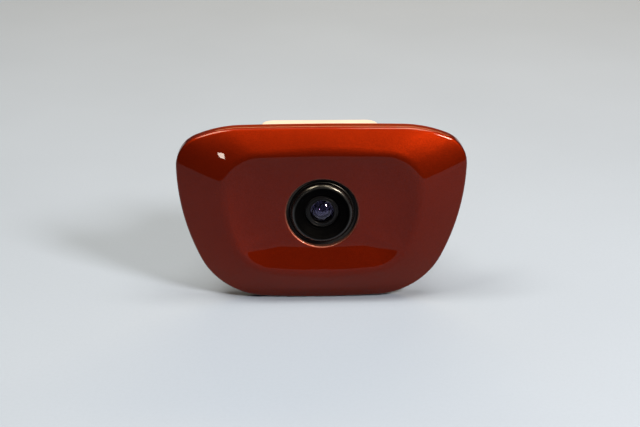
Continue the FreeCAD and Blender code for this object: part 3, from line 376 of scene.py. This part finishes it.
def mixed(nt, factor, a, b, kind="RGBA", blend="MIX"):
    n = node(nt, "ShaderNodeMix", data_type=kind)
    if kind == "RGBA":
        n.blend_type = blend
        slots = (n.inputs["Factor"], n.inputs[6], n.inputs[7])
        out = n.outputs[2]
    else:
        slots = (n.inputs[0], n.inputs[2], n.inputs[3])
        out = n.outputs[0]
    for s, v in zip(slots, (factor, a, b)):
        if isinstance(v, bpy.types.NodeSocket):
            nt.links.new(v, s)
        else:
            s.default_value = (*v, 1.0) if isinstance(v, tuple) and len(v) == 3 else v
    return out


def bump(nt, height, strength, distance, normal=None):
    links = {"Height": height, "Strength": strength, "Distance": distance}
    if normal is not None:
        links["Normal"] = normal
    return node(nt, "ShaderNodeBump", links).outputs[0]


def math_node(nt, op, a, b=0.0):
    n = node(nt, "ShaderNodeMath", operation=op)
    for s, v in zip(n.inputs, (a, b)):
        if isinstance(v, bpy.types.NodeSocket):
            nt.links.new(v, s)
        else:
            s.default_value = v
    return n.outputs[0]


def from_axis(nt, at):
    """Distance from the lens axis."""
    split = node(nt, "ShaderNodeSeparateXYZ", {"Vector": at})
    return math_node(nt, "SQRT", math_node(nt, "ADD", math_node(nt, "MULTIPLY", split.outputs[0], split.outputs[0]), math_node(nt, "MULTIPLY", split.outputs[2], split.outputs[2])))


def paint_cover():
    """Burnt-orange metallic base with fine flakes under a clear coat with a trace of orange peel."""
    m, nt, b = material("cover_paint")
    at = place(nt)
    flakes = cells(nt, 7000, at=at)
    colour = node(nt, "ShaderNodeSeparateColor", {"Color": flakes.outputs["Color"]})
    fine = span(nt, colour.outputs[0], 0, 1, 0.86, 1.14)
    cloud = span(nt, noise(nt, 60, 4, 0.6, at).outputs["Fac"], 0.3, 0.7, 0.95, 1.05)
    base = mixed(nt, 1.0, PAINT, node(nt, "ShaderNodeCombineColor", {"Red": fine, "Green": fine, "Blue": fine}).outputs[0], blend="MULTIPLY")
    base = mixed(nt, 1.0, base, node(nt, "ShaderNodeCombineColor", {"Red": cloud, "Green": cloud, "Blue": cloud}).outputs[0], blend="MULTIPLY")
    # painted highlight: a paler pinkish line painted into the base colour round the lip of the opening, standing in
    # for the light the rolled lip catches
    painted_lip_highlight = math_node(nt, "MULTIPLY", span(nt, from_axis(nt, at), 0.0123, 0.0127, 1, 0), span(nt, noise(nt, 500, 3, 0.6, at).outputs["Fac"], 0.3, 0.6, 0.7, 1.0))
    base = mixed(nt, painted_lip_highlight, base, (0.36, 0.15, 0.115))
    nt.links.new(base, b.inputs["Base Color"])
    # flakes lie at slightly different tilts
    tilt = node(nt, "ShaderNodeVectorMath", {0: flakes.outputs["Color"], 1: (0.5, 0.5, 0.5)}, operation="SUBTRACT")
    small = node(nt, "ShaderNodeVectorMath", {0: tilt.outputs[0]}, operation="SCALE")
    small.inputs["Scale"].default_value = 0.12
    normal = node(nt, "ShaderNodeNewGeometry").outputs["Normal"]
    total = node(nt, "ShaderNodeVectorMath", {0: normal, 1: small.outputs[0]}, operation="ADD")
    unit_normal = node(nt, "ShaderNodeVectorMath", {0: total.outputs[0]}, operation="NORMALIZE")
    nt.links.new(unit_normal.outputs[0], b.inputs["Normal"])
    peel = bump(nt, noise(nt, 420, 2, 0.5, at).outputs["Fac"], 0.06, 0.00006)
    nt.links.new(peel, b.inputs["Coat Normal"])
    dust = span(nt, noise(nt, 900, 5, 0.7, at).outputs["Fac"], 0.62, 0.75, 0.02, 0.09)
    nt.links.new(dust, b.inputs["Coat Roughness"])
    setting(b, metallic=1.0, rough=0.55, coat=1.0, coat_ior=1.25, spec_tint=(1.0, 0.66, 0.5))
    return m


def gloss_black():
    """Black moulded ring: polished crest with hairline wear, deep matt anti-glare cone inside it."""
    m, nt, b = material("bezel_plastic")
    at = place(nt)
    out = from_axis(nt, at)
    crest = math_node(nt, "MULTIPLY", span(nt, out, 0.0092, 0.0098, 0, 1), span(nt, out, 0.0107, 0.0109, 1, 0))
    tint = mixed(nt, span(nt, noise(nt, 300, 4, 0.6, at).outputs["Fac"], 0.35, 0.7, 0, 1), (0.0004, 0.0004, 0.0006), (0.0009, 0.0009, 0.0011))
    nt.links.new(tint, b.inputs["Base Color"])
    scratch = node(nt, "ShaderNodeTexNoise", {"Vector": node(nt, "ShaderNodeMapping", {"Vector": at, "Scale": (1.0, 14.0, 1.0), "Rotation": (0.4, 0.3, 0.9)}).outputs[0], "Scale": 1400.0, "Detail": 4.0, "Roughness": 0.7})
    polished = span(nt, scratch.outputs["Fac"], 0.4, 0.75, 0.24, 0.32)
    matt = span(nt, noise(nt, 2400, 3, 0.6, at).outputs["Fac"], 0.3, 0.7, 0.5, 0.7)
    nt.links.new(mixed(nt, crest, matt, polished, "FLOAT"), b.inputs["Roughness"])
    nt.links.new(span(nt, crest, 0, 1, 0.012, 0.60), b.inputs["Specular IOR Level"])
    nt.links.new(bump(nt, scratch.outputs["Fac"], 0.05, 0.00002), b.inputs["Normal"])
    setting(b, ior=1.5)
    return m


def moulded(name, colour, dark, rough=(0.42, 0.56), grain=2600, depth=0.00004, strength=0.25, subsurface=0.0, wear=None):
    """Moulded plastic: spark-eroded grain, soft colour drift, paler rubbed corners."""
    m, nt, b = material(name)
    at = place(nt)
    drift = noise(nt, 55, 4, 0.6, at).outputs["Fac"]
    base = mixed(nt, span(nt, drift, 0.3, 0.7, 0, 1), dark, colour)
    speck = span(nt, noise(nt, 1500, 3, 0.7, at).outputs["Fac"], 0.66, 0.74, 0, 0.35)
    base = mixed(nt, speck, base, tuple(c * 0.72 for c in colour))
    edge = node(nt, "ShaderNodeBevel", {"Radius": 0.0006}, samples=4)
    turn = node(nt, "ShaderNodeVectorMath", {0: edge.outputs[0], 1: node(nt, "ShaderNodeNewGeometry").outputs["Normal"]}, operation="DOT_PRODUCT")
    rub = math_node(nt, "MULTIPLY", span(nt, turn.outputs["Value"], 0.90, 0.995, 1, 0), span(nt, noise(nt, 400, 4, 0.7, at).outputs["Fac"], 0.4, 0.6, 0, 1))
    base = mixed(nt, math_node(nt, "MULTIPLY", rub, 0.5), base, wear or tuple(min(1, c * 1.25 + 0.01) for c in colour))
    nt.links.new(base, b.inputs["Base Color"])
    grains = noise(nt, grain, 4, 0.65, at).outputs["Fac"]
    nt.links.new(span(nt, grains, 0.3, 0.7, rough[0], rough[1]), b.inputs["Roughness"])
    nt.links.new(bump(nt, grains, strength, depth), b.inputs["Normal"])
    setting(b, ior=1.48, subsurface=subsurface)
    if subsurface:
        b.inputs["Subsurface Radius"].default_value = (1.0, 0.7, 0.45)
        b.inputs["Subsurface Scale"].default_value = 0.0012
    return m


def foam(name, colour):
    m, nt, b = material(name)
    at = place(nt)
    pores = cells(nt, 2200, at=at).outputs["Distance"]
    base = mixed(nt, span(nt, pores, 0.1, 0.6, 0, 1), tuple(c * 0.35 for c in colour), colour)
    nt.links.new(base, b.inputs["Base Color"])
    nt.links.new(bump(nt, pores, 0.7, 0.00012), b.inputs["Normal"])
    nt.links.new(span(nt, noise(nt, 500, 3, 0.6, at).outputs["Fac"], 0.3, 0.7, 0.82, 0.96), b.inputs["Roughness"])
    setting(b, sheen=0.03, spec=0.08)
    return m


def rubber(name, colour, spec=0.35):
    m, nt, b = material(name)
    at = place(nt)
    n = noise(nt, 700, 4, 0.6, at).outputs["Fac"]
    nt.links.new(mixed(nt, span(nt, n, 0.35, 0.65, 0, 1), tuple(c * 0.7 for c in colour), tuple(c * 1.3 for c in colour)), b.inputs["Base Color"])
    nt.links.new(span(nt, n, 0.3, 0.7, 0.5, 0.7), b.inputs["Roughness"])
    nt.links.new(bump(nt, noise(nt, 3000, 3, 0.6, at).outputs["Fac"], 0.2, 0.00003), b.inputs["Normal"])
    setting(b, spec=spec)
    return m


def metal(name, colour, rough=(0.25, 0.4), rings=None, plating=None, strength=0.12, metallic=1.0, tarnish=0.3, spec=0.5):
    """Machined or plated metal: turning marks about the lens axis or random grain, with slight tarnish."""
    m, nt, b = material(name)
    at = place(nt)
    grain = noise(nt, 1800, 5, 0.7, at).outputs["Fac"]
    if rings:
        split = node(nt, "ShaderNodeSeparateXYZ", {"Vector": at})
        r = from_axis(nt, at)
        grooves = noise(nt, 1.0, 3, 0.6, node(nt, "ShaderNodeCombineXYZ", {"X": math_node(nt, "MULTIPLY", r, rings), "Y": math_node(nt, "MULTIPLY", split.outputs[1], rings)}).outputs[0]).outputs["Fac"]
        grain = mixed(nt, 0.75, grain, grooves, "FLOAT")
    stain = span(nt, noise(nt, 260, 4, 0.65, at).outputs["Fac"], 0.4, 0.7, 0, tarnish)
    nt.links.new(mixed(nt, stain, colour, plating or tuple(c * 0.55 for c in colour)), b.inputs["Base Color"])
    nt.links.new(span(nt, grain, 0.3, 0.7, rough[0], rough[1]), b.inputs["Roughness"])
    nt.links.new(bump(nt, grain, strength, 0.00003), b.inputs["Normal"])
    setting(b, metallic=metallic, spec=spec)
    return m


def glass(name, colour, tint=(1.0, 1.0, 1.0), rough=0.0, ior=1.6, spec=0.5, coat=0.0):
    """Coated optical glass: body tint, coloured residual reflection, faint haze."""
    m, nt, b = material(name)
    at = place(nt)
    haze = noise(nt, 900, 4, 0.6, at).outputs["Fac"]
    nt.links.new(mixed(nt, span(nt, haze, 0.45, 0.75, 0, 0.35), colour, tuple(c * 0.85 for c in colour)), b.inputs["Base Color"])
    nt.links.new(mixed(nt, span(nt, noise(nt, 120, 2, 0.5, at).outputs["Fac"], 0.35, 0.65, 0, 1), tint, tuple(c * 0.8 for c in tint)), b.inputs["Specular Tint"])
    nt.links.new(span(nt, haze, 0.5, 0.8, rough, rough + 0.03), b.inputs["Roughness"])
    setting(b, transmission=1.0, ior=ior, spec=spec, coat=coat, coat_rough=0.05, coat_ior=1.45)
    return m


def board(name):
    """Solder mask over copper tracks."""
    m, nt, b = material(name)
    at = place(nt)
    brick = node(nt, "ShaderNodeTexVoronoi", {"Vector": at, "Scale": 620.0, "Randomness": 1.0}, feature="DISTANCE_TO_EDGE", distance="EUCLIDEAN").outputs["Distance"]
    tracks = span(nt, brick, 0.03, 0.07, 1, 0)
    pads = span(nt, cells(nt, 800, at=at).outputs["Distance"], 0.10, 0.14, 1, 0)
    base = mixed(nt, tracks, (0.010, 0.085, 0.03), (0.03, 0.17, 0.07))
    base = mixed(nt, pads, base, (0.75, 0.6, 0.32))
    nt.links.new(base, b.inputs["Base Color"])
    nt.links.new(pads, b.inputs["Metallic"])
    nt.links.new(bump(nt, tracks, 0.3, 0.00004), b.inputs["Normal"])
    nt.links.new(span(nt, noise(nt, 300, 3, 0.5, at).outputs["Fac"], 0.3, 0.7, 0.22, 0.38), b.inputs["Roughness"])
    return m


FLOOR = (0.200, 0.250, 0.355)


def floor_paper():
    """Plain pale matt card."""
    m, nt, b = material("floor_paper")
    at = place(nt)
    fibre = noise(nt, 900, 6, 0.7, at).outputs["Fac"]
    wide = noise(nt, 9, 3, 0.5, at).outputs["Fac"]
    base = mixed(nt, span(nt, wide, 0.3, 0.7, 0, 1), FLOOR, tuple(c * 1.04 for c in FLOOR))
    base = mixed(nt, span(nt, fibre, 0.45, 0.75, 0, 0.25), base, tuple(c * 0.88 for c in FLOOR))
    nt.links.new(base, b.inputs["Base Color"])
    nt.links.new(bump(nt, fibre, 0.15, 0.0001), b.inputs["Normal"])
    setting(b, rough=0.95, spec=0.1)
    return m


MATS = {
    "cover_paint": paint_cover(),
    "bezel_plastic": gloss_black(),
    "bracket_plastic": moulded("bracket_plastic", (0.37, 0.315, 0.305), (0.335, 0.285, 0.27), subsurface=0.1),
    "case_plastic": moulded("case_plastic", (0.020, 0.020, 0.022), (0.012, 0.012, 0.014), rough=(0.5, 0.68), wear=(0.06, 0.06, 0.062)),
    "chip_plastic": moulded("chip_plastic", (0.03, 0.03, 0.034), (0.02, 0.02, 0.022), rough=(0.35, 0.5), wear=(0.08, 0.08, 0.08)),
    "connector_plastic": moulded("connector_plastic", (0.62, 0.56, 0.42), (0.55, 0.49, 0.36)),
    "component_ceramic": moulded("component_ceramic", (0.36, 0.24, 0.13), (0.22, 0.14, 0.08), rough=(0.3, 0.45)),
    "gasket_foam": foam("gasket_foam", (0.014, 0.014, 0.016)),
    "vent_fabric": foam("vent_fabric", (0.8, 0.8, 0.78)),
    "seal_rubber": rubber("seal_rubber", (0.008, 0.008, 0.008), 0.06),
    "insert_brass": metal("insert_brass", (0.80, 0.58, 0.24), (0.2, 0.36)),
    "pin_brass": metal("pin_brass", (0.80, 0.74, 0.58), (0.18, 0.3)),
    "screw_steel": metal("screw_steel", (0.66, 0.66, 0.64), (0.22, 0.38), plating=(0.55, 0.5, 0.36)),
    "shield_steel": metal("shield_steel", (0.68, 0.68, 0.69), (0.25, 0.4)),
    "barrel_metal": metal("barrel_metal", (0.012, 0.012, 0.014), (0.35, 0.5), rings=9000, metallic=0.2),
    "ring_metal": metal("ring_metal", (0.004, 0.004, 0.005), (0.26, 0.4), rings=9000, metallic=0.2, spec=0.16),
    "spacer_metal": metal("spacer_metal", (0.010, 0.010, 0.011), (0.4, 0.55), rings=9000, metallic=0.2),
    "front_glass": glass("front_glass", (0.66, 0.63, 0.76), (0.55, 0.5, 0.95), ior=1.5, spec=0.25, coat=0.3),
    "inner_glass": glass("inner_glass", (0.40, 0.37, 0.55), (0.55, 0.5, 0.85), rough=0.01),
    "filter_glass": glass("filter_glass", (0.35, 0.62, 0.72), (0.9, 0.5, 0.5)),
    "circuit_board": board("circuit_board"),
}
SLOT = {s["node"]: s["material_slot"] for s in frame["record"]["subparts"]}
for name, ob in frame["nodes"].items():
    mat = MATS[SLOT[name]]
    if not ob.material_slots:
        ob.data.materials.append(mat)
    for s in ob.material_slots:
        s.material = mat


def dress(ob, slot, *nodes):
    ob.data.materials.clear()
    ob.data.materials.append(MATS[slot])
    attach(ob, "root")
    if nodes:
        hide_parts(*nodes)
    return ob


# ---------------------------------------------------------------- pieces
cover = dress(build_cover(), "cover_paint", "front_cover")

crest = -8.75
bezel = lathe(
    "bezel_ring",
    [(9.05, -1.4), (11.1, -1.4), (11.2, -1.5)]
    + [(11.2, crest + 2.35), (11.16, crest + 2.25), (11.05, crest + 2.17), (10.85, crest + 2.12), (10.7, crest + 2.05), (10.64, crest + 1.97)]
    + [(9.27 + 1.35 * math.cos(math.radians(a)), crest + 1.9 - 1.9 * math.sin(math.radians(a))) for a in range(0, 91, 4)]
    + [(9.27 - 0.55 * math.sin(math.radians(a)), crest + 0.55 * (1 - math.cos(math.radians(a)))) for a in range(8, 57, 8)]
    + rounded([(8.81, crest + 0.24), (8.55, crest + 0.8), (6.62, crest + 1.85), (6.42, crest + 1.78), (6.15, crest + 1.95), (6.1, crest + 2.3), (5.75, crest + 2.35), (5.75, -5.0), (9.05, -5.0)], [0, 0.6, 0.1, 0.12, 0.12, 0.1, 0.08, 0.05, 0.05], n=8)[1:],
    segments=220,
)
dress(bezel, "bezel_plastic", "nose_bezel")

front = -6.1
ring = lathe(
    "retaining_ring",
    [(4.0, front), (5.3, front), (5.35, front - 0.05), (5.35, front - 0.62)] + arc(5.22, front - 0.66, 0.13, 0, -180, 8) + [(4.98, front - 0.55), (4.5, front - 0.62)] + arc(4.3, front - 0.62, 0.17, 0, -180, 8) + [(4.05, front - 0.42), (4.0, front - 0.3)],
    segments=160,
)
dress(ring, "ring_metal", "lens_retaining_ring")


def sag_arc(clear, y_axis, y_edge, n=24, outward=True):
    s = y_edge - y_axis
    radius = (clear**2 + s**2) / (2 * abs(s))
    cy = y_axis + math.copysign(radius, s)
    out = []
    for i in range(n + 1):
        r = clear * i / n
        out.append((r, cy - math.copysign(math.sqrt(radius**2 - r**2), s)))
    return out if outward else out[::-1]


lens = lathe("lens_dome", sag_arc(3.95, front - 1.95, front - 0.05) + [(3.97, front), (4.45, front), (4.45, front + 1.5), (2.8, front + 1.5)] + sag_arc(2.8, front - 0.1, front + 1.5, outward=False), segments=128, angle=30)
dress(lens, "front_glass", "front_lens")
for name, args in {
    "second_lens": (3.5, 2.2, 2.8, 1.9, 3.5, 3.1, 2.3),
    "third_lens": (3.0, 3.8, 5.4, 4.3, 4.9, 2.9, 2.4),
}.items():
    edge, fy, ry, fe, re_, fc, rc = args
    profile = sag_arc(fc, front + fy, front + fe) + [(edge, front + fe), (edge, front + re_), (rc, front + re_)] + sag_arc(rc, front + ry, front + re_, outward=False)
    dress(lathe(name + "_element", profile, segments=96, angle=30), "inner_glass", name)

# ---------------------------------------------------------------- stage
# a round pale table top, with its middle well behind the object and its edge 0.17 m in front
bm = bmesh.new()
bmesh.ops.create_cone(bm, cap_ends=True, segments=360, radius1=0.727, radius2=0.727, depth=0.02)
me = bpy.data.meshes.new("floor")
bm.to_mesh(me)
bm.free()
floor = bpy.data.objects.new("floor", me)
floor.location = (0, 0.56, FLOOR_Z * MM - 0.01003)
bpy.context.scene.collection.objects.link(floor)
me.materials.append(floor_paper())


def area(name, direction, distance, size_x, size_y, power, colour, target=(0, 0, 0)):
    d = bpy.data.lights.new(name, "AREA")
    d.shape = "RECTANGLE"
    d.size, d.size_y, d.energy, d.color = size_x, size_y, power, colour
    o = bpy.data.objects.new(name, d)
    v = Vector(direction).normalized()
    o.location = Vector(target) + v * distance
    o.rotation_mode = "QUATERNION"
    o.rotation_quaternion = v.to_track_quat("Z", "Y")
    bpy.context.scene.collection.objects.link(o)
    return o


area("key", (0.60, -0.60, 0.62), 0.9, 0.20, 0.20, 14.0, (1.0, 0.86, 0.68))
area("high", (0.30, -0.10, 1.0), 1.1, 0.4, 0.4, 10.0, (1.0, 0.86, 0.62))
area("left", (-0.44, -0.16, 1.0), 1.1, 0.4, 0.4, 14.0, (1.0, 0.86, 0.62))
area("strip", (0.0, 0.0, 1.0), 1.0, 1.2, 0.10, 2.0, (1.0, 0.90, 0.74))
area("rim", (0.15, 0.80, 0.60), 1.0, 0.9, 0.15, 6.0, (1.0, 0.66, 0.30))
area("fill", (-0.414, -0.908, 0.231), 1.02, 0.022, 0.13, 0.5, (1.0, 0.88, 0.74))
area("ambient", (0.0, 0.75, 1.0), 1.7, 1.8, 1.8, 3.0, (1.0, 0.94, 0.84))

world = bpy.data.worlds.new("studio")
bpy.context.scene.world = world
world.use_nodes = True
world.node_tree.nodes["Background"].inputs[0].default_value = (0.62, 0.70, 0.86, 1)
world.node_tree.nodes["Background"].inputs[1].default_value = 0.05

# ---------------------------------------------------------------- camera
e, yaw, roll = math.radians(22.86), math.radians(2.46), math.radians(0.33)
back = Vector((-math.sin(yaw) * math.cos(e), -math.cos(yaw) * math.cos(e), math.sin(e)))
target = Vector((0, -8.5, 0)) * MM
place_at = target + back * 0.420
forward = -back
right = forward.cross(Vector((0, 0, 1))).normalized()
up = right.cross(forward)
aim = target - right * (2.3 * 0.420 / 1244) + up * (0.5 * 0.420 / 1244)
cam_data = bpy.data.cameras.new("camera")
cam_data.sensor_width = 36.0
cam_data.lens = 1244 * 36.0 / 640
cam_data.clip_start, cam_data.clip_end = 0.02, 20
cam = bpy.data.objects.new("camera", cam_data)
cam.location = place_at
cam.rotation_mode = "QUATERNION"
look = (aim - place_at).to_track_quat("-Z", "Y")
cam.rotation_quaternion = look @ Quaternion((0, 0, 1), roll)
bpy.context.scene.collection.objects.link(cam)
bpy.context.scene.camera = cam
bpy.context.scene.view_settings.view_transform = "Standard"
